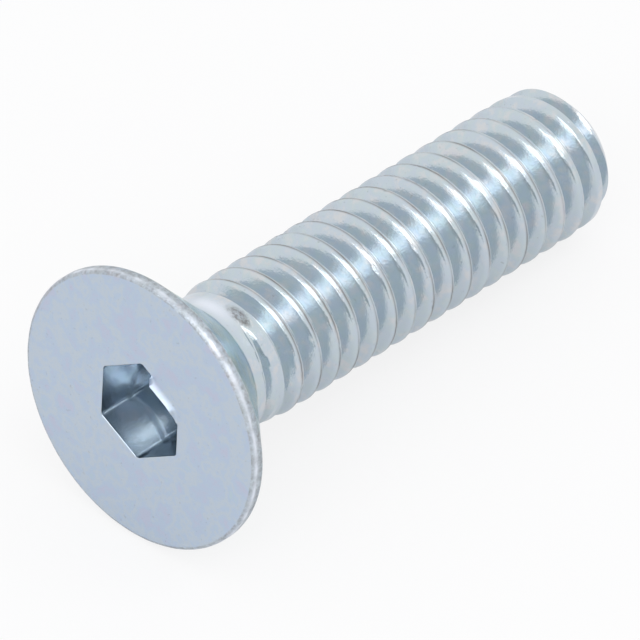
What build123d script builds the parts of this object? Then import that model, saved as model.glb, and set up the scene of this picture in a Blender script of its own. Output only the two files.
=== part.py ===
from build123d import *
import math
import os

# Countersunk socket screw: one piece of cold-forged steel with a rolled thread.
# Millimetres. The screw is made about its own axis, with the middle of the head's
# flat face at the origin and the shank along +Z. It is then laid down on the plane
# Z = 0, head toward -Y, so that the rim of the head and the end of the thread touch.

# Head
head_diameter = 7.64
head_angle = 90.0  # included angle of the countersink
rim_height = 0.31  # from the flat face to the edge where the cone begins
face_edge_bevel = 0.11  # broken edge between the face and the rim

# Shank, with an M4 coarse right-hand thread
length = 15.80  # head face to end face: a 16 mm screw within its tolerance
pitch = 0.70
major_diameter = 3.86
thread_angle = 60.0
thread_depth = 0.42
crest_flat = 0.09
neck_diameter = 3.66  # plain blank left under the head
neck_fillet = 0.25
neck_length = 0.96  # from the end of the cone to where the crests first rise
rise_length = 0.36  # over which the crests rise from the neck
groove_start = 0.50  # from the end of the cone to the first full depth of the groove
run_out_turns = 0.20  # the groove climbs out of the neck over this part of a turn
run_out_rise = 0.47  # how far it climbs
end_chamfer = 0.42
thread_phase = 335.0  # degrees round the axis to where the groove reaches full depth
turns_per_length = 3  # the groove is swept in lengths of this many turns

# Hexagon socket
socket_flats = 2.50  # across flats at the mouth
socket_turn = 26.7  # degrees round the axis to a corner
mouth_bevel = 0.04
upper_depth = 1.15  # where the flats step in, measured at their middles
step_in = 0.05  # how far each flat steps in
socket_depth = 1.80  # to the foot of the flats
socket_floor_angle = 118.0  # included angle of the floor's cone

# Lip that a tool has turned in over one side of the socket
lip_reach = 0.30  # how far it stands in from the flat
lip_depth = 0.20  # below the face
lip_start = 0.28  # along the flat, as a share of its width

# Sizes that follow
head_radius = head_diameter / 2
major_radius = major_diameter / 2
neck_radius = neck_diameter / 2
floor_radius = major_radius - thread_depth
cone_height = (head_radius - neck_radius) / math.tan(math.radians(head_angle / 2))
head_height = rim_height + cone_height
shank_start = head_height + neck_fillet
thread_start = head_height + neck_length
full_thread_start = thread_start + rise_length
thread_end = length - end_chamfer


def turned(outline, radii):
    """A solid turned about Z from (radius, z) corners, each rounded by its radius."""
    with BuildSketch(Plane.XZ) as half:
        with BuildLine():
            FilletPolyline(*outline, radius=radii, close=True)
        make_face()
    return revolve(half.sketch, Axis.Z)


def head():
    """Flat face, rim, cone and the fillet into the neck."""
    outline = [
        (0, 0),
        (head_radius - face_edge_bevel, 0),
        (head_radius, face_edge_bevel),
        (head_radius, rim_height),
        (neck_radius, head_height),
        (neck_radius, shank_start),
        (0, shank_start),
    ]
    return turned(outline, [0, 0, 0, 0, neck_fillet, 0, 0])


def shank_envelope():
    """What the crests reach: the neck, the rise to full thread and the end chamfer."""
    outline = [
        (0, shank_start),
        (neck_radius, shank_start),
        (neck_radius, thread_start),
        (major_radius, full_thread_start),
        (major_radius, thread_end),
        (major_radius - end_chamfer, length),
        (0, length),
    ]
    return turned(outline, [0] * len(outline))


def groove_section():
    """The groove between two crests, in the plane of the axis, with a flat root."""
    stand_off = crest_flat / 2  # the cutter stands this far above the crests
    slope = math.tan(math.radians(thread_angle / 2))
    mouth = (pitch - crest_flat) / 2 + stand_off * slope
    root = mouth - (thread_depth + stand_off) * slope
    with BuildSketch(Plane.XZ) as section:
        with BuildLine():
            Polyline(
                (major_radius + stand_off, -mouth),
                (floor_radius, -root),
                (floor_radius, root),
                (major_radius + stand_off, mouth),
                close=True,
            )
        make_face()
    return section.sketch


def groove():
    """Lengths of the helical groove, end to end, and its run-out in the neck."""
    section = groove_section()
    start = head_height + groove_start
    lengths = math.ceil((length - start) / (turns_per_length * pitch))
    helix = Helix(pitch=pitch, height=turns_per_length * pitch, radius=major_radius)
    one_length = sweep(sections=section, path=helix, is_frenet=True)
    run_out_height = run_out_turns * pitch
    widening = math.degrees(math.atan(run_out_rise / run_out_height))
    spiral = Helix(
        pitch=pitch, height=run_out_height, radius=major_radius, cone_angle=widening
    )
    run_out = sweep(sections=section, path=spiral, is_frenet=True)
    placed = Pos(0, 0, start) * Rotation(0, 0, thread_phase)
    pieces = [placed * Rotation(180, 0, 0) * run_out]
    for k in range(lengths):
        pieces.append(placed * Pos(0, 0, k * turns_per_length * pitch) * one_length)
    return pieces


def threaded_shank():
    rod_length = length + turns_per_length * pitch - shank_start
    rod = Pos(0, 0, shank_start + rod_length / 2) * Cylinder(major_radius, rod_length)
    for piece in groove():
        rod = rod - piece
    return rod & shank_envelope()


def hexagon(across_flats, depth, taper=0):
    return extrude(RegularPolygon(across_flats / 2, 6, major_radius=False), depth, taper=taper)


def cone_down(radius, included_angle):
    """A cone that stands on its tip, with its rim of this radius at Z = 0."""
    height = radius / math.tan(math.radians(included_angle / 2))
    return turned([(0, 0), (radius, 0), (0, height)], [0, 0, 0])


def lip():
    """A tongue in the plane of the face, from part way along a flat to its corner."""
    side = socket_flats / math.sqrt(3)
    inner = socket_flats / 2 - lip_reach
    first = side * (lip_start - 0.5)
    slant = lip_reach * math.tan(math.radians(30))
    last = side / 2 + slant
    with BuildSketch() as plan:
        with BuildLine():
            Polyline(
                (first, -socket_flats / 2),
                (first + slant, -inner),
                (last, -inner),
                (side / 2, -socket_flats / 2),
                close=True,
            )
        make_face()
    return extrude(plan.sketch, lip_depth)


def socket():
    """Hexagon with a bevelled mouth, a small step in its flats and a conical floor."""
    corner_radius = socket_flats / math.sqrt(3)
    lower_flats = socket_flats - 2 * step_in
    step_rim = upper_depth - (corner_radius - socket_flats / 2)
    step = Pos(0, 0, step_rim) * cone_down(corner_radius, 90)
    column = Pos(0, 0, step_rim / 2) * Cylinder(corner_radius, step_rim)
    upper = hexagon(socket_flats, upper_depth) & (column + step)
    lower = hexagon(lower_flats, socket_depth)
    floor = Pos(0, 0, socket_depth) * cone_down(lower_flats / 2, socket_floor_angle)
    mouth = hexagon(socket_flats + 2 * mouth_bevel, 2 * mouth_bevel, taper=45)
    return Rotation(0, 0, socket_turn) * (upper + lower + floor + mouth - lip())


def screw():
    return head() + threaded_shank() - socket()


def laid_down(part):
    """Rest it on the cone's edge and on the last full crest, centred over the origin."""
    droop = math.degrees(
        math.atan2(head_radius - major_radius, thread_end - rim_height)
    )
    part = Rotation(-90 - droop, 0, 0) * part
    box = part.bounding_box()
    return Pos(-box.center().X, -box.center().Y, -box.min.Z) * part


os.makedirs("parts", exist_ok=True)
export_step(laid_down(screw()), "parts/screw.step")
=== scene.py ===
"""A countersunk socket screw in bright zinc plate, lying on its rim and the end of its thread.

The screw is one closed mesh. Its head is an edge loop walked ring by ring from the floor of the
socket, out over the face and down the cone to the neck. Its thread is one pitch of the rolled
profile, spun round the axis. The two are bridged in the neck.
"""

import math

import bmesh
import bpy
from mathutils import Matrix, Vector, noise


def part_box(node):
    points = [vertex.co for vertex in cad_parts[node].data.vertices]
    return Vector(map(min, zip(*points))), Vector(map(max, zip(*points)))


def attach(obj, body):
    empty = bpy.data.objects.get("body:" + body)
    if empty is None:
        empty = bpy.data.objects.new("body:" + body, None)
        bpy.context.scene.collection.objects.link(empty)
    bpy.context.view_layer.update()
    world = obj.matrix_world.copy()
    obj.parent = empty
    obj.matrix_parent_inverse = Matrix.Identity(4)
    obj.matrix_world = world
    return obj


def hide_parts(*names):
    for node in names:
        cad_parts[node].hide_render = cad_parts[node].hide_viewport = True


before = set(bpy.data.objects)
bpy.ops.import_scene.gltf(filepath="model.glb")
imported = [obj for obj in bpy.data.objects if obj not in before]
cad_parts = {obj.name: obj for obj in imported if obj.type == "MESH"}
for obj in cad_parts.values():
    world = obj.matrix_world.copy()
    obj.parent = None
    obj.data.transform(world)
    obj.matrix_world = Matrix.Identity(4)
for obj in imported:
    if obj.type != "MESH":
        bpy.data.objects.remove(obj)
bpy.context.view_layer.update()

bl_info = {
    "name": "Countersunk socket screw",
    "version": (1, 0, 0),
    "blender": (4, 5, 0),
    "location": "View3D > Sidebar > Screw",
    "description": "Makes a zinc-plated countersunk screw with a hexagon socket, and its stage",
    "category": "Add Mesh",
}

NODE = "screw"  # the CAD node that the screw stands for
MM = 0.001
COLUMNS = 192  # vertices in each ring of the head, so that six corners fall on vertices
TURN_STEPS = 128  # steps of the spin in one turn of the thread
SHARP_ANGLE = math.radians(38)  # edges that turn more than this are shaded as creases
WELD = 0.002 * MM
CUT_LIMIT = 0.0001 * MM  # how near a vertex counts as lying on a cutting plane

# Lumps in the surface: about how wide each is, and the seed of its noise
RIM_DENTS = (0.22 * MM, 3.1)
RIM_WAVES = (0.60 * MM, 7.7)
RIM_PATCHES = (0.28 * MM, 2.2)
NICKED_PATCHES = (1.6 * MM, 1.3)
NICKS = (0.11 * MM, 5.2)
SEAM_PATCHES = (0.90 * MM, 8.8)

# How rough each surface is, and how much of the struck face's satin it has
FACE_ROUGHNESS, RIM_ROUGHNESS, SOCKET_ROUGHNESS, ROLLED_ROUGHNESS = 0.40, 0.28, 0.18, 0.17
FACE_SATIN, RIM_SATIN, SOCKET_SATIN, ROLLED_SATIN = 1.0, 0.35, 0.3, 0.0

# Patterns in the plate, by how wide their patches are
FILM_PATCH = 0.55 * MM  # the passivate film dries in patches about half a millimetre wide
STAIN_PATCH = 0.13 * MM  # dried rinse water between the dents of the rim
PIT_SIZE = 0.10 * MM  # pits are nearer 0.02 mm, too fine to show, so they are drawn coarser
RIPPLE = 0.30 * MM  # the ripple that the rolling dies and the blow leave
PLATE_GRAIN = 0.06 * MM  # zinc crystals are a few micrometres across, so these are coarser


def linear(hex_colour):
    """An sRGB hex colour as linear red, green, blue and alpha."""
    channels = [int(hex_colour[i:i + 2], 16) / 255 for i in (1, 3, 5)]
    return [c / 12.92 if c <= 0.04045 else ((c + 0.055) / 1.055) ** 2.4 for c in channels] + [1.0]


def length_of(name, description, size_in_mm):
    """A length in the panel, given in millimetres and kept in metres."""
    return bpy.props.FloatProperty(
        name=name, description=description, default=size_in_mm * MM, unit="LENGTH", precision=5
    )


def angle_of(name, description, degrees):
    """An angle in the panel, given in degrees and kept in radians."""
    return bpy.props.FloatProperty(
        name=name, description=description, default=math.radians(degrees), unit="ROTATION"
    )


def colour_of(name, description, hex_colour):
    """A colour in the panel, given as sRGB hex and kept linear."""
    return bpy.props.FloatVectorProperty(
        name=name, description=description, default=linear(hex_colour), size=4, subtype="COLOR"
    )


class ScrewSizes(bpy.types.PropertyGroup):
    """The sizes of the screw."""

    head_diameter: length_of("Head diameter", "Across the rim of the head", 7.64)
    rim_height: length_of("Rim height", "From the face to where the cone begins", 0.31)
    face_edge: length_of("Face edge", "Radius of the edge between face and rim", 0.11)
    neck_diameter: length_of("Neck diameter", "Plain blank under the head", 3.66)
    neck_fillet: length_of("Neck fillet", "Radius between the cone and the neck", 0.25)
    neck_join: length_of("Neck join", "From the cone's end to where head and thread meet", 0.17)
    # 0.001 mm under the CAD's, so that the screw's end stays inside its box
    length: length_of("Length", "From the face to the end of the thread", 15.799)
    major_diameter: length_of("Major diameter", "Across the crests", 3.86)
    pitch: length_of("Pitch", "From crest to crest", 0.70)
    thread_depth: length_of("Thread depth", "From a crest to a root", 0.40)
    crest_flat: length_of("Crest width", "Of a crest before it is rounded", 0.165)
    crest_seam: length_of("Crest seam", "Depth of the seam that rolling leaves in a crest", 0.008)
    groove_start: length_of("Groove start", "From the cone's end to the first full groove", 0.50)
    run_out_rise: length_of("Run-out rise", "How far the groove climbs out of the neck", 0.47)
    run_out_angle: angle_of("Run-out angle", "Part of a turn over which it climbs", 72)
    shallow: length_of("Shallow start", "What the groove lacks where it leaves the neck", 0.07)
    shallow_angle: angle_of("Shallow angle", "Part of a turn over which that fades", 300)
    rise_start: length_of("Rise start", "From the cone's end to where the crests rise", 0.96)
    rise_length: length_of("Rise length", "Over which the crests rise from the neck", 0.36)
    end_chamfer: length_of("End chamfer", "Of the first thread", 0.42)
    end_taper: length_of("End taper", "What the last crests lack of the full radius", 0.10)
    end_taper_length: length_of("End taper length", "Over which they taper", 1.3)
    thread_phase: angle_of("Thread phase", "Round the axis to the first full groove", -25)
    socket_flats: length_of("Socket width", "Across the flats at the mouth", 2.50)
    socket_turn: angle_of("Socket turn", "Round the axis to a corner of the hexagon", 26.7)
    socket_depth: length_of("Socket depth", "From the face to the foot of the flats", 1.80)
    mouth_bevel: length_of("Mouth bevel", "Of the edge of the socket", 0.012)
    step_depth: length_of("Step depth", "Where the flats step in, at their middles", 1.15)
    step_in: length_of("Step", "How far each flat steps in", 0.03)
    step_height: length_of("Step height", "Over which they step in", 0.05)
    corner_blunt: length_of("Corner", "How far the corners of the hexagon are filled", 0.02)
    lip_reach: length_of("Lip reach", "How far the lip stands in from its flat", 0.23)
    lip_bend: length_of("Lip bend", "How much further its far end stands in", 0.19)
    lip_rise: length_of("Lip rise", "How far its edge is turned up out of the face", 0.10)
    lip_depth: length_of("Lip depth", "Of the lip's underside below the face", 0.14)
    lip_start: bpy.props.FloatProperty(
        name="Lip start", description="Along the flat, as a share of its width", default=0.29,
        subtype="FACTOR", min=0, max=1,
    )
    # where round the axis the painted highlight on the neck is centred
    painted_highlight_angle: angle_of("Bloom angle", "Where the film on the neck is milky", -96)
    scar_angle: angle_of("Scar angle", "Where the run-out of the groove is scuffed", -74)
    scar_place: length_of("Scar place", "From the cone's end to its middle", 0.62)
    scar_size: length_of("Scar size", "From its middle to its edge", 0.24)
    wear: length_of("Wear", "Depth of the nicks in the rim and the crests", 0.014)


class ZincColours(bpy.types.PropertyGroup):
    """The colours of blue-passivated zinc, whose thin film tints what it reflects."""

    face_blue: colour_of("Face blue", "The struck face's main colour", "#BAC9DB")
    face_grey: colour_of("Face grey", "Of the face where the film is thin", "#C2CCD6")
    face_lilac: colour_of("Face lilac", "Of the face where the film is thick", "#C0C6D8")
    face_green: colour_of("Face green", "Of the face between the two", "#BCCDD4")
    grey: colour_of("Grey", "Of the thread where the film is thinnest", "#CFD2D5")
    blue: colour_of("Blue", "Of the thread where the film is thin", "#C2CDD7")
    green: colour_of("Green", "Of the thread where the film is thicker", "#C3CFD4")
    lilac: colour_of("Lilac", "Of the thread where the film is thickest", "#C7CBD6")
    edge_teal: colour_of("Edge teal", "Of what the cone reflects at a low angle", "#D8EBEB")
    edge_blue: colour_of("Edge blue", "Of the same where the film is thin", "#DAE8F6")
    edge_pale: colour_of("Edge pale", "Of the same where the film has run off", "#EFF1E8")
    # a pale colour painted as a highlight on the neck's fillet and on the rim's ridge, not a milky
    # film
    painted_highlight: colour_of("Bloom", "Of the neck and the rim where it is milky", "#E4EAF4")
    # also painted along the crests' seams, where it stands in part for the shade at each crest's
    # dark edge
    stain: colour_of("Stain", "Dried rinse water in seams and pits", "#6E6A68")


class StageSettings(bpy.types.PropertyGroup):
    """The floor, the lamps and the camera."""

    floor_colour: colour_of("Floor colour", "Of the floor and the room", "#FFFFFF")
    floor_albedo: colour_of("Floor paint", "What the floor scatters", "#E6E6E8")
    focal_length: bpy.props.FloatProperty(
        name="Focal length", description="Of the camera", default=1350.0, unit="CAMERA"
    )
    camera_distance: length_of("Camera distance", "From the middle of the face", 593.0)
    camera_azimuth: angle_of("Camera azimuth", "Round the screw, from the front", 42.3)
    camera_elevation: angle_of("Camera elevation", "Above the horizon", 43.2)
    face_right: length_of("Face right", "Of the middle of the camera's frame", -4.463)
    face_down: length_of("Face down", "From the middle of the camera's frame", 2.252)


# The screw's own axes: Z runs from the face to the end, X is level and Y points down


def head_height(size):
    """From the face to where the 90 degree cone would meet the neck."""
    return size.rim_height + (size.head_diameter - size.neck_diameter) / 2


def resting_place(size):
    """Turns and moves the screw so that the rim and the last full crest touch the floor."""
    head, crest = size.head_diameter / 2, size.major_diameter / 2
    droop = math.atan2(head - crest, size.length - size.end_chamfer - size.rim_height)
    low, _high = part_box(NODE)
    face = Vector((
        0,
        low.y + (head - size.face_edge) * math.sin(droop),
        low.z + head * math.cos(droop) + size.rim_height * math.sin(droop),
    ))
    return Matrix.Translation(face) @ Matrix.Rotation(-math.pi / 2 - droop, 4, "X")


def polar(vertex):
    """A vertex's radius and its angle round the axis."""
    return math.hypot(vertex.co.x, vertex.co.y), math.atan2(vertex.co.y, vertex.co.x)


def hexagon(size, apothem):
    """The radius of a hexagon of this apothem as a function of the angle round the axis."""
    sixth = math.radians(60)
    corner = apothem / math.cos(sixth / 2) - size.corner_blunt

    def radius(angle):
        return min(corner, apothem / math.cos((angle - size.socket_turn) % sixth - sixth / 2))

    return radius


def lip_edge(size):
    """The radius of the socket's opening inside the lip that a tool has turned in."""
    apothem = size.socket_flats / 2
    opening = hexagon(size, apothem)
    middle = size.socket_turn + math.radians(270)
    slant = math.tan(math.radians(30))
    corner = apothem * slant  # from the middle of a flat to its corner
    first = 2 * corner * (size.lip_start - 0.5)
    from_angle, to_angle = -math.radians(29), math.radians(60)

    def radius(angle):
        off = math.remainder(angle - middle, math.tau)
        if not from_angle < off < to_angle:
            return opening(angle)
        along = (apothem - size.lip_reach) * math.tan(off)
        bend = size.lip_bend * min(1, max(0, (along - 0.5 * corner) / (1.04 * corner))) ** 2
        straight = (apothem - size.lip_reach - bend) / math.cos(off)
        cut = (first + apothem * slant) / (math.sin(off) + math.cos(off) * slant)
        return min(opening(angle), max(straight, cut))

    return radius


def mixed(first, second, share):
    """A ring between two rings, each a number or a function of the angle."""
    def value(angle):
        a = first(angle) if callable(first) else first
        b = second(angle) if callable(second) else second
        return a + (b - a) * share

    return value


def socket_rings(size):
    """From the floor of the socket up its flats, over the step, to under the lip."""
    half = size.socket_flats / 2
    lower = half - size.step_in
    lower_hexagon, upper_hexagon = hexagon(size, lower), hexagon(size, half)
    floor_cone = math.radians(59)  # half the angle of the punch's tip
    tip = size.socket_depth + lower / math.tan(floor_cone)
    rings = [(lower * k, mixed(tip, size.socket_depth, k)) for k in (0.03, 0.3, 0.65, 1)]

    def step_at(outline, drop=0.0):
        """The step lies on a cone, so it is deeper in the middle of a flat than in a corner."""
        return lambda angle: size.step_depth + half - outline(angle) + drop

    step_foot = step_at(lower_hexagon, size.step_height)
    for share in (0, 0.4, 0.8, 1):
        rings.append((lower_hexagon, mixed(size.socket_depth, step_foot, share)))
    for share in (0, 0.15, 0.5, 0.9, 1):
        rings.append((upper_hexagon, mixed(step_at(upper_hexagon), size.lip_depth, share)))
    return rings


def lip_rings(size):
    """In along the lip's underside, up its edge and out over its raised top to the mouth."""
    half = size.socket_flats / 2
    flats, mouth, edge = hexagon(size, half), hexagon(size, half + size.mouth_bevel), lip_edge(size)
    lip_middle, far_end = size.socket_turn - math.radians(90), math.radians(50)
    far_fade, near_fade = math.radians(17), 0.12 * size.lip_reach

    def raised(level, height):
        """A depth that is level where there is no lip and stands up where there is."""
        def depth(angle):
            share = min(1, (flats(angle) - edge(angle)) / near_fade)
            left = far_end - math.remainder(angle - lip_middle, math.tau)
            return level + (height - level) * share * min(1, max(0, left / far_fade))

        return depth

    under, bevel, top = size.lip_depth, size.mouth_bevel, -size.lip_rise
    return [
        (mixed(flats, edge, 0.5), raised(under * 0.97, under * 0.6)),
        (mixed(flats, edge, 0.9), raised(under * 0.8, under * 0.1)),
        (edge, raised(under * 0.6, top * 0.4)),
        (mixed(edge, mouth, 0.02), raised(under * 0.4, top * 0.8)),
        (mixed(edge, mouth, 0.09), raised(bevel * 0.91, top)),
        (mixed(edge, mouth, 0.20), raised(bevel * 0.80, top * 0.72)),
        (mixed(edge, mouth, 0.34), raised(bevel * 0.66, top * 0.40)),
        (mixed(edge, mouth, 0.50), raised(bevel * 0.5, top * 0.16)),
        (mixed(edge, mouth, 0.75), raised(bevel * 0.25, top * 0.03)),
        (mouth, 0),
    ]


def outer_rings(size):
    """Out over the face, round its edge, down the rim and the cone and into the neck."""
    mouth = hexagon(size, size.socket_flats / 2 + size.mouth_bevel)
    outer = size.head_diameter / 2
    face = outer - size.face_edge
    rings = [
        (mixed(mouth, face, share), 0) for share in (0.06, 0.2, 0.35, 0.5, 0.65, 0.8, 0.9, 0.97, 1)
    ]
    for turn in (15, 30, 45, 60, 75, 90):
        across, down = math.sin(math.radians(turn)), 1 - math.cos(math.radians(turn))
        rings.append((face + size.face_edge * across, size.face_edge * down))
    for share in (0.33, 0.67, 0.93):
        rings.append((outer, mixed(size.face_edge, size.rim_height, share)))
    cone, neck = head_height(size), size.neck_diameter / 2
    tangent = size.neck_fillet * math.tan(math.radians(22.5))
    cone_end = tangent * math.cos(math.radians(45))
    for share in (0.01, 0.03, 0.15, 0.35, 0.55, 0.75, 0.9, 1):
        rings.append((
            mixed(outer, neck + cone_end, share), mixed(size.rim_height, cone - cone_end, share)
        ))
    for turn in (36, 27, 18, 9, 0):
        out, back = math.cos(math.radians(turn)), math.sin(math.radians(turn))
        rings.append((
            neck + size.neck_fillet * (1 - out), cone + tangent - size.neck_fillet * back
        ))
    rings.append((neck, cone + size.neck_join * 0.94))
    return rings


def extrude_loop(mesh, loop):
    """Extrudes a loop of edges where it is, and gives its new vertices and its new edges."""
    made = bmesh.ops.extrude_edge_only(mesh, edges=loop)["geom"]
    new = {g for g in made if isinstance(g, bmesh.types.BMVert)}
    return new, [g for g in made if isinstance(g, bmesh.types.BMEdge) and set(g.verts) <= new]


def walk_head(mesh, size):
    """Extrudes a loop of edges through the head's rings, each a radius and a depth, from a disc."""
    step = math.tau / COLUMNS
    rings = socket_rings(size) + lip_rings(size) + outer_rings(size)

    def place(vertex, ring):
        angle = math.atan2(vertex.co.y, vertex.co.x) - size.socket_turn
        angle = size.socket_turn + round(angle / step) * step
        radius, depth = (r(angle) if callable(r) else r for r in ring)
        vertex.co = (radius * math.cos(angle), radius * math.sin(angle), depth)

    start = rings[0][0]
    made = bmesh.ops.create_circle(mesh, cap_ends=True, segments=COLUMNS, radius=start)["verts"]
    bmesh.ops.rotate(mesh, verts=made, matrix=Matrix.Rotation(size.socket_turn, 3, "Z"))
    for vertex in made:
        place(vertex, rings[0])
    loop = [e for e in mesh.edges if e.is_boundary]
    for ring in rings[1:]:
        new, loop = extrude_loop(mesh, loop)
        for vertex in new:
            place(vertex, ring)


def thread_profile(size):
    """One pitch of the rolled thread from crest to crest, as places along the axis and radii."""
    crest = size.major_diameter / 2
    slope = math.tan(math.radians(60))
    half = size.pitch / 2
    apex = crest - (half - size.crest_flat / 2) * slope  # where the two flanks would meet
    tip = crest + size.crest_flat / 2 * slope
    root = crest - size.thread_depth - apex  # radius of the rounded root
    top = tip - crest  # radius of the rounded crest
    side = []
    for tilt in (0, 15, 30, 45, 60):
        across, up = math.sin(math.radians(tilt)), 1 - math.cos(math.radians(tilt))
        side.append((root * across, apex + root * (1 + up)))
    for tilt in (60, 54, 46, 37, 27, 16):
        across, down = math.sin(math.radians(tilt)), 1 - math.cos(math.radians(tilt))
        side.append((half - top * across, crest - top * down))
    foot, shoulder = side[4], side[5]
    middle = [
        tuple(a + (b - a) * share for a, b in zip(foot, shoulder)) for share in (0.3, 0.6, 0.85)
    ]
    side[5:5] = middle
    side += [(half - 0.15 * top, crest), (half, crest - size.crest_seam)]
    return [(-place, radius) for place, radius in reversed(side[1:])] + side


def spin_thread(mesh, size):
    """Spins a comb of profiles once round, each into the next, and runs the groove out."""
    first_groove = head_height(size) + size.groove_start
    turns_before, turns = 2, math.ceil(size.length / size.pitch)
    start = first_groove - turns_before * size.pitch
    one_pitch = thread_profile(size)
    places = [(start + one_pitch[0][0], one_pitch[0][1])]
    for turn in range(turns):
        middle = start + turn * size.pitch
        places += [(middle + place, radius) for place, radius in one_pitch[1:]]
    across, up = math.cos(size.thread_phase), math.sin(size.thread_phase)
    profile = [mesh.verts.new((radius * across, radius * up, place)) for place, radius in places]
    edges = [mesh.edges.new(pair) for pair in zip(profile, profile[1:])]
    bmesh.ops.spin(
        mesh, geom=profile + edges, cent=(0, 0, 0), axis=(0, 0, 1), angle=math.tau,
        dvec=(0, 0, size.pitch / TURN_STEPS), steps=TURN_STEPS,
    )
    bmesh.ops.remove_doubles(mesh, verts=mesh.verts, dist=WELD)
    join = head_height(size) + size.neck_join
    for height, part in ((join, "clear_inner"), (size.length, "clear_outer")):
        whole = mesh.verts[:] + mesh.edges[:] + mesh.faces[:]
        bmesh.ops.bisect_plane(
            mesh, geom=whole, dist=CUT_LIMIT, plane_co=(0, 0, height), plane_no=(0, 0, 1),
            **{part: True},
        )
    for vertex in mesh.verts:
        radius, _angle = polar(vertex)
        wound = unwound(vertex, size)[0]
        lift = size.shallow * max(0, 1 - max(0, wound) / size.shallow_angle)
        lift += (size.run_out_rise - size.shallow) * max(0, -wound / size.run_out_angle)
        reach = min(envelope(size, vertex.co.z), radius + lift)
        vertex.co.xy *= reach / radius


def unwound(vertex, size):
    """The angle wound since the first full groove, and the place across the nearest crest."""
    along = (vertex.co.z - head_height(size) - size.groove_start) / size.pitch
    turned = (polar(vertex)[1] - size.thread_phase) / math.tau
    from_crest = (along - turned) % 1 - 0.5
    return math.tau * (round(along - turned) + turned), from_crest * size.pitch


def envelope(size, depth):
    """The radius that the crests reach: the neck, the rise to full thread and the end chamfer."""
    neck, crest = size.neck_diameter / 2, size.major_diameter / 2
    risen = (depth - head_height(size) - size.rise_start) / size.rise_length
    start = neck + (crest - neck) * min(1, max(0, risen))
    taper = max(0, depth - (size.length - size.end_taper_length)) / size.end_taper_length
    chamfered = crest - max(0, depth - (size.length - size.end_chamfer))
    return min(start, chamfered, crest - size.end_taper * taper)


def close_end(mesh, size):
    """Walks the open end of the thread in to a small face in the middle."""
    loop = [e for e in mesh.edges if e.is_boundary and e.verts[0].co.z > size.length / 2]
    for share, dish in ((0.96, 0.0), (0.9, 0.012), (0.5, 0.03), (0.06, 0.04)):
        new, loop = extrude_loop(mesh, loop)
        for vertex in new:
            radius, angle = polar(vertex)
            reach = share * (size.major_diameter / 2 - size.thread_depth)
            vertex.co = (
                reach * math.cos(angle), reach * math.sin(angle), size.length - dish * MM
            )
    bmesh.ops.holes_fill(mesh, edges=loop, sides=0)


def rough(point, grain, seed):
    """Smooth noise between -1 and 1 whose lumps are about one grain across."""
    return noise.noise(Vector(point) / grain + Vector((seed, -seed, 2 * seed)))


def wear_down(mesh, size):
    """Lowers the rim and the crests by small nicks, always inward so that no size grows."""
    outer, crest = size.head_diameter / 2, size.major_diameter / 2
    for vertex in mesh.verts:
        radius, _angle = polar(vertex)
        place = vertex.co.copy()
        if vertex.co.z < size.rim_height * 1.05 and radius > outer - 2.5 * size.face_edge:
            lumps = 0.6 * rough(place, *RIM_DENTS) + 0.4 * rough(place, *RIM_WAVES)
            cut = size.wear * (0.7 + 0.5 * lumps)
            vertex.co.xy *= (radius - cut) / radius
            vertex.co.z += 0.4 * cut * (vertex.co.z < size.face_edge)
        elif vertex.co.z > head_height(size) + size.neck_join and radius > crest - 0.06 * MM:
            patch = max(0, 0.35 + rough(place, *NICKED_PATCHES))
            nick = max(0, rough(place, *NICKS)) ** 2
            vertex.co.xy *= (radius - 5 * size.wear * patch * nick) / radius


def closed_skin(size):
    """The thread and the head, bridged in the neck, worn and closed all round."""
    mesh = bmesh.new()
    spin_thread(mesh, size)
    close_end(mesh, size)
    head = bmesh.new()
    walk_head(head, size)
    head_data = bpy.data.meshes.new("head")
    head.to_mesh(head_data)
    head.free()
    mesh.from_mesh(head_data)
    bpy.data.meshes.remove(head_data)
    open_edges = [edge for edge in mesh.edges if edge.is_boundary]
    bmesh.ops.bridge_loops(mesh, edges=open_edges)
    wear_down(mesh, size)
    bmesh.ops.recalc_face_normals(mesh, faces=mesh.faces)
    loose = [edge for edge in mesh.edges if not edge.is_manifold]
    if loose:
        raise RuntimeError(f"{len(loose)} edges of the screw aren't closed")
    return mesh


class MakeScrew(bpy.types.Operator):
    """Make the screw: head, socket, cone, neck and rolled thread in one closed skin"""

    bl_idname = "mesh.make_socket_screw"
    bl_label = "Make screw"

    def execute(self, context):
        size = context.scene.screw_sizes
        mesh = closed_skin(size)
        mark_finish(mesh, size)
        for face in mesh.faces:
            face.smooth = True
        for edge in mesh.edges:
            edge.smooth = edge.calc_face_angle() < SHARP_ANGLE
        mesh.transform(resting_place(size))
        data = bpy.data.meshes.new("socket_screw")
        mesh.to_mesh(data)
        mesh.free()
        data.materials.append(zinc_plate(context.scene.zinc_colours))
        screw = bpy.data.objects.new("socket_screw", data)
        context.scene.collection.objects.link(screw)
        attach(screw, "root")
        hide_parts(NODE)
        return {"FINISHED"}


def scuffed(size, vertex):
    """How scuffed the run-out of the groove is here, from 0 to 1."""
    radius, angle = polar(vertex)
    if radius >= size.major_diameter / 2:
        return 0
    away = math.hypot(
        math.remainder(angle - size.scar_angle, math.tau) * radius / 2,
        vertex.co.z - head_height(size) - size.scar_place,
    )
    return min(1, 2 * max(0, 1 - away / size.scar_size))


def painted_highlight_on_rim(size, vertex):
    """A broken ridge round the rim, just outside the face, where a pale highlight is painted."""
    from_ridge = (vertex.co.z - 0.95 * size.face_edge) / (0.62 * size.face_edge)
    patchy = 0.75 + 0.8 * rough(vertex.co, *RIM_PATCHES)
    return min(1, max(0, patchy)) * math.exp(-from_ridge * from_ridge)


def painted_highlight_on_neck(size, vertex):
    """One soft patch of painted highlight in the fillet under the head."""
    half_angle, half_length, below = math.radians(24), 0.26 * MM, 0.32 * MM
    around = math.remainder(polar(vertex)[1] - size.painted_highlight_angle, math.tau) / half_angle
    along = (vertex.co.z - head_height(size) - below) / half_length
    return math.exp(-around * around - along * along)


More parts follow.
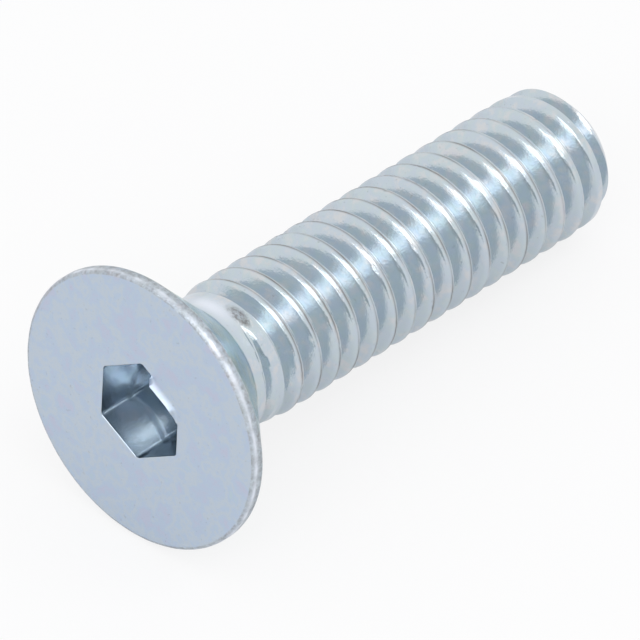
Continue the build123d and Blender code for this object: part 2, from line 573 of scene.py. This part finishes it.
def seam_stain_and_painted_shade(size, vertex, off_crest):
    """Dried rinse water in the seam of a crest, which also paints the shade along the crest's dark
    edge, and fades out before the end.
    """
    bare_end, fade_length = 1.2 * MM, 2.4 * MM
    patch = 0.7 + 0.8 * rough(vertex.co, *SEAM_PATCHES)
    fade = min(1, max(0, size.length - vertex.co.z - bare_end) / fade_length)
    line = max(0, 1 - abs(off_crest) / (0.3 * size.crest_flat))
    return line * min(1, max(0.15, patch)) * fade


def mark_finish(mesh, size):
    """Writes the finish of each surface on its vertices, for the material to read."""
    struck, roughness, worn, seam, film, painted_highlight = (
        mesh.verts.layers.float.new(name)
        for name in ("struck", "roughness", "worn", "seam", "film", "painted_highlight")
    )
    outer, crest = size.head_diameter / 2, size.major_diameter / 2
    cone = head_height(size)
    for vertex in mesh.verts:
        radius, _angle = polar(vertex)
        depth = vertex.co.z
        in_socket = radius < 0.6 * size.socket_flats and (
            0.3 * size.mouth_bevel < depth < 1.5 * size.socket_depth)
        on_rim = depth < size.rim_height * 1.02 and radius > outer - 0.95 * size.face_edge
        on_face = depth < 0.5 * size.face_edge
        on_cone = not on_rim and not in_socket and (
            size.rim_height < depth < cone + size.groove_start)
        vertex[struck], vertex[roughness] = (
            (RIM_SATIN, RIM_ROUGHNESS) if on_rim
            else (SOCKET_SATIN, SOCKET_ROUGHNESS) if in_socket
            else (FACE_SATIN, FACE_ROUGHNESS) if on_face
            else (ROLLED_SATIN, ROLLED_ROUGHNESS)
        )
        scar = scuffed(size, vertex)
        vertex[worn] = 1.7 * scar
        if on_rim:
            # painted highlight along the rim's ridge; the rest of the rim gets the brownish
            # mottling
            vertex[painted_highlight] = painted_highlight_on_rim(size, vertex)
            vertex[worn] = 1.1 * (1 - vertex[painted_highlight])
        # seam stain along the crests, which also paints the shade at each crest's dark edge
        if depth > cone + size.rise_start and radius > crest - 0.05 * MM:
            vertex[seam] = seam_stain_and_painted_shade(size, vertex, unwound(vertex, size)[1])
        elif scar > 0:
            vertex[seam] = 0.3 * scar
        if cone < depth < cone + 0.8 * MM:
            # painted highlight in the neck's fillet
            vertex[painted_highlight] = painted_highlight_on_neck(size, vertex)
        if on_cone:
            vertex[film] = min(1, max(0, (cone + 0.12 * MM - depth) / (0.2 * MM)))


def add_node(tree, kind, settings=None, links=None, stops=None):
    """Adds a node, sets its properties and inputs, links its inputs and fills its ramp."""
    node = tree.nodes.new(kind)
    for name, value in (settings or {}).items():
        if isinstance(name, str) and name in node.bl_rna.properties:
            setattr(node, name, value)
        else:
            node.inputs[name].default_value = value
    for name, source in (links or {}).items():
        tree.links.new(source, node.inputs[name])
    if stops:
        elements = node.color_ramp.elements
        while len(elements) < len(stops):
            elements.new(0.5)
        for element, (position, colour) in zip(elements, stops):
            element.position = position
            element.color = colour
    return node


def blank_material(name):
    """A material whose node tree is still empty."""
    material = bpy.data.materials.new(name)
    material.use_nodes = True
    material.node_tree.nodes.clear()
    return material


def zinc_plate(colours):
    """Electroplated zinc with a blue passivate film.

    Zinc plate is bright and a little milky, and a pale highlight is painted on the neck and
    the rim. The film shifts it from blue to green and lilac where it is thicker, rinse water
    dries brownish in the seams, where the brown also paints the shade along each crest, and
    the struck face of the head is satin while the rolled thread stays bright.
    """
    material = blank_material("zinc_plate_blue_passivated")
    tree = material.node_tree
    place = add_node(tree, "ShaderNodeTexCoord").outputs["Object"]
    struck, roughness, worn, seam, film, painted_highlight = (
        add_node(tree, "ShaderNodeAttribute", {"attribute_name": name}).outputs["Fac"]
        for name in ("struck", "roughness", "worn", "seam", "film", "painted_highlight")
    )
    thickness = add_node(
        tree, "ShaderNodeTexNoise", {"Scale": 1 / FILM_PATCH, "Detail": 4.0, "Roughness": 0.62},
        {"Vector": place},
    ).outputs["Fac"]
    bright = add_node(
        tree, "ShaderNodeValToRGB", links={"Fac": thickness},
        stops=[(0.34, colours.grey), (0.46, colours.blue), (0.56, colours.green),
               (0.66, colours.grey), (0.76, colours.lilac)],
    )
    satin = add_node(
        tree, "ShaderNodeValToRGB", links={"Fac": thickness},
        stops=[(0.34, colours.face_lilac), (0.45, colours.face_blue), (0.55, colours.face_grey),
               (0.64, colours.face_blue), (0.76, colours.face_green)],
    )
    plate = add_node(
        tree, "ShaderNodeMix", {"data_type": "RGBA"},
        {0: struck, 6: bright.outputs["Color"], 7: satin.outputs["Color"]},
    )
    # mixes in the painted highlight of the neck and the rim
    painted_highlight_mix = add_node(
        tree, "ShaderNodeMix", {"data_type": "RGBA", 7: colours.painted_highlight},
        {0: painted_highlight, 6: plate.outputs[2]},
    )
    sheen = add_node(
        tree, "ShaderNodeValToRGB", links={"Fac": thickness},
        stops=[(0.38, colours.edge_blue), (0.50, colours.edge_teal), (0.62, colours.edge_pale)],
    )
    edge_tint = add_node(
        tree, "ShaderNodeMix", {"data_type": "RGBA", 6: (1, 1, 1, 1)},
        {0: film, 7: sheen.outputs["Color"]},
    )
    mottling = add_node(
        tree, "ShaderNodeTexNoise", {"Scale": 1 / STAIN_PATCH, "Detail": 6.0, "Roughness": 0.75},
        {"Vector": place},
    )
    pits = add_node(
        tree, "ShaderNodeMapRange",
        {"From Min": 0.36, "From Max": 0.70, "To Max": 0.7},
        {"Value": mottling.outputs["Fac"]},
    )
    specks = add_node(
        tree, "ShaderNodeTexNoise", {"Scale": 1 / PIT_SIZE, "Detail": 2.0, "Roughness": 0.6},
        {"Vector": place},
    )
    few_pits = add_node(
        tree, "ShaderNodeMapRange",
        {"From Min": 0.66, "From Max": 0.78, "To Max": 0.3},
        {"Value": specks.outputs["Fac"]},
    )
    stain = add_node(
        tree, "ShaderNodeMath", {"operation": "MULTIPLY_ADD"},
        {0: pits.outputs[0], 1: worn, 2: few_pits.outputs[0]},
    )
    # the crests' seams: brown stain that also paints the shade along each crest's dark edge
    seam_stain_and_shade = add_node(tree, "ShaderNodeMath", {"operation": "MULTIPLY", 1: 0.85}, {0: seam})
    stained = add_node(
        tree, "ShaderNodeMath", {"operation": "MAXIMUM"}, {0: stain.outputs[0], 1: seam_stain_and_shade.outputs[0]}
    )
    colour = add_node(
        tree, "ShaderNodeMix", {"data_type": "RGBA", 7: colours.stain},
        {0: stained.outputs[0], 6: painted_highlight_mix.outputs[2]},
    )
    grain = add_node(
        tree, "ShaderNodeTexNoise", {"Scale": 1 / PLATE_GRAIN, "Detail": 3.0, "Roughness": 0.6},
        {"Vector": place},
    )
    relief = add_node(
        tree, "ShaderNodeBump", {"Strength": 0.2, "Distance": 0.02 * MM},
        {"Height": grain.outputs["Fac"]},
    )
    rim_relief = add_node(
        tree, "ShaderNodeBump", {"Distance": 0.04 * MM},
        {"Height": mottling.outputs["Fac"], "Strength": worn, "Normal": relief.outputs[0]},
    )
    waves = add_node(
        tree, "ShaderNodeTexNoise", {"Scale": 1 / RIPPLE, "Detail": 2.0, "Roughness": 0.5},
        {"Vector": place},
    )
    wavy = add_node(
        tree, "ShaderNodeBump", {"Strength": 0.26, "Distance": 0.02 * MM},
        {"Height": waves.outputs["Fac"], "Normal": rim_relief.outputs[0]},
    )
    shader = add_node(
        tree, "ShaderNodeBsdfPrincipled", {"Metallic": 1.0},
        {"Base Color": colour.outputs[2], "Specular Tint": edge_tint.outputs[2],
         "Roughness": roughness, "Normal": wavy.outputs[0]},
    )
    add_node(
        tree, "ShaderNodeOutputMaterial", links={"Surface": shader.outputs["BSDF"]}
    )
    return material


def toward(azimuth, elevation):
    """A direction from the screw: azimuth 0 is in front of the head, 90 on the right."""
    a, e = math.radians(azimuth), math.radians(elevation)
    return Vector((math.sin(a) * math.cos(e), -math.cos(a) * math.cos(e), math.sin(e)))


# Soft boxes: name, azimuth, elevation, width, height in metres and how bright the cloth is
LAMPS = (
    ("back_box", 128, 53, 0.12, 0.14, 1.5),
    ("top_box", 66, 62, 0.17, 0.15, 1.2),
    ("front_box", 22, 41, 0.19, 0.13, 1.9),
    ("strip_box", 2, 17, 0.05, 0.10, 1.2),
    ("low_box", -6, 2, 0.032, 0.028, 13.0),
)
# Grey cards that only the metal sees: name, azimuth, elevation, width, height, grey
CARDS = (
    ("right_card", 36, 8, 0.26, 0.14, "#ABB3B7"),
    ("lens_card", 42, 38, 0.05, 0.05, "#50565C"),
)
LAMP_DISTANCE = 0.30


def facing(direction, distance=LAMP_DISTANCE):
    """A place in this direction that faces the screw."""
    turn = direction.to_track_quat("Z", "Y").to_matrix().to_4x4()
    return Matrix.Translation(direction * distance) @ turn


class MakeStage(bpy.types.Operator):
    """Make the floor, the soft boxes, the grey cards and the camera"""

    bl_idname = "scene.make_screw_stage"
    bl_label = "Make stage"

    def execute(self, context):
        settings = context.scene.stage_settings
        make_room(context.scene, settings)
        for name, azimuth, elevation, width, height, radiance in LAMPS:
            lamp = bpy.data.lights.new(name, "AREA")
            lamp.shape = "RECTANGLE"
            lamp.size, lamp.size_y = width, height
            lamp.energy = radiance * math.pi * width * height
            box = bpy.data.objects.new(name, lamp)
            box.matrix_world = facing(toward(azimuth, elevation))
            box.visible_camera = False
            context.scene.collection.objects.link(box)
        for name, azimuth, elevation, width, height, grey in CARDS:
            card = make_sheet(name, width, height)
            card.data.transform(facing(toward(azimuth, elevation)))
            card.data.materials.append(glow(name, linear(grey)))
            card.visible_camera = False
            card.visible_diffuse = False
            card.visible_shadow = False
            context.scene.collection.objects.link(card)
        make_camera(context.scene, settings)
        return {"FINISHED"}


def make_sheet(name, width, height):
    """A flat rectangle in the XY plane, about the origin."""
    sheet = bmesh.new()
    bmesh.ops.create_grid(sheet, x_segments=1, y_segments=1, size=0.5)
    bmesh.ops.scale(sheet, vec=(width, height, 1), verts=sheet.verts)
    data = bpy.data.meshes.new(name)
    sheet.to_mesh(data)
    sheet.free()
    return bpy.data.objects.new(name, data)


def glow(name, colour):
    """The material of an evenly lit card, so that the metal mirrors one flat grey."""
    material = blank_material(name)
    tree = material.node_tree
    light = add_node(tree, "ShaderNodeEmission", {"Color": colour, "Strength": 1.0})
    add_node(tree, "ShaderNodeOutputMaterial", links={"Surface": light.outputs[0]})
    return material


def seen_directly(tree):
    """1 for rays from the camera, the gloss and glass, 0 for the light that is scattered."""
    path = add_node(tree, "ShaderNodeLightPath")
    gloss = add_node(
        tree, "ShaderNodeMath", {"operation": "MAXIMUM"},
        {0: path.outputs["Is Camera Ray"], 1: path.outputs["Is Glossy Ray"]},
    )
    return add_node(
        tree, "ShaderNodeMath", {"operation": "MAXIMUM"},
        {0: gloss.outputs[0], 1: path.outputs["Is Transmission Ray"]},
    ).outputs[0]


def make_room(scene, settings):
    """A white room, and a white floor that keeps the screw's shadow."""
    room = bpy.data.worlds.new("white_room")
    room.use_nodes = True
    room.node_tree.nodes.clear()
    tree = room.node_tree
    level = add_node(
        tree, "ShaderNodeMapRange", {"To Min": 0.9, "To Max": 1.0}, {"Value": seen_directly(tree)}
    )
    sky = add_node(
        tree, "ShaderNodeBackground", {"Color": settings.floor_colour},
        {"Strength": level.outputs[0]},
    )
    add_node(tree, "ShaderNodeOutputWorld", links={"Surface": sky.outputs[0]})
    scene.world = room
    floor = make_sheet("floor", 6, 6)
    material = blank_material("white_card")
    tree = material.node_tree
    lit = add_node(tree, "ShaderNodeEmission", {"Color": settings.floor_colour, "Strength": 1.0})
    paint = add_node(tree, "ShaderNodeBsdfDiffuse", {"Color": settings.floor_albedo})
    path = add_node(tree, "ShaderNodeLightPath")
    # the camera sees the floor paler than the metal does, so the metal keeps some of its shade
    whiteness = add_node(
        tree, "ShaderNodeMapRange", {"To Min": 0.35, "To Max": 0.8},
        {"Value": path.outputs["Is Camera Ray"]},
    )
    lit_share = add_node(
        tree, "ShaderNodeMath", {"operation": "MULTIPLY"},
        {0: whiteness.outputs[0], 1: seen_directly(tree)},
    )
    mix = add_node(
        tree, "ShaderNodeMixShader",
        links={0: lit_share.outputs[0], 1: paint.outputs[0], 2: lit.outputs[0]},
    )
    add_node(tree, "ShaderNodeOutputMaterial", links={"Surface": mix.outputs[0]})
    floor.data.materials.append(material)
    scene.collection.objects.link(floor)


def make_camera(scene, settings):
    """A long lens above and to the right of the head."""
    back = toward(math.degrees(settings.camera_azimuth), math.degrees(settings.camera_elevation))
    turn = back.to_track_quat("Z", "Y").to_matrix()
    face = resting_place(scene.screw_sizes).translation
    offset = Vector((settings.face_right, -settings.face_down, -settings.camera_distance))
    camera = bpy.data.objects.new("camera", bpy.data.cameras.new("camera"))
    camera.matrix_world = Matrix.Translation(face - turn @ offset) @ turn.to_4x4()
    camera.data.lens = settings.focal_length
    camera.data.sensor_width = 36.0
    camera.data.clip_start, camera.data.clip_end = 0.01, 10.0
    scene.collection.objects.link(camera)
    scene.camera = camera
    scene.view_settings.view_transform = "Standard"


class ScrewPanel(bpy.types.Panel):
    """Sizes, colours and buttons of the screw"""

    bl_idname = "VIEW3D_PT_socket_screw"
    bl_label = "Socket screw"
    bl_space_type = "VIEW_3D"
    bl_region_type = "UI"
    bl_category = "Screw"

    def draw(self, context):
        for group in GROUPS:
            settings = getattr(context.scene, group)
            for name in settings.__annotations__:
                self.layout.prop(settings, name)
        self.layout.operator(MakeScrew.bl_idname)
        self.layout.operator(MakeStage.bl_idname)


GROUPS = {"screw_sizes": ScrewSizes, "zinc_colours": ZincColours, "stage_settings": StageSettings}
CLASSES = (*GROUPS.values(), MakeScrew, MakeStage, ScrewPanel)


def register():
    for cls in CLASSES:
        bpy.utils.register_class(cls)
    for name, group in GROUPS.items():
        setattr(bpy.types.Scene, name, bpy.props.PointerProperty(type=group))


def unregister():
    for name in GROUPS:
        delattr(bpy.types.Scene, name)
    for cls in reversed(CLASSES):
        bpy.utils.unregister_class(cls)


def main():
    register()
    bpy.ops.mesh.make_socket_screw()
    bpy.ops.scene.make_screw_stage()


if __name__ == "__main__":
    main()
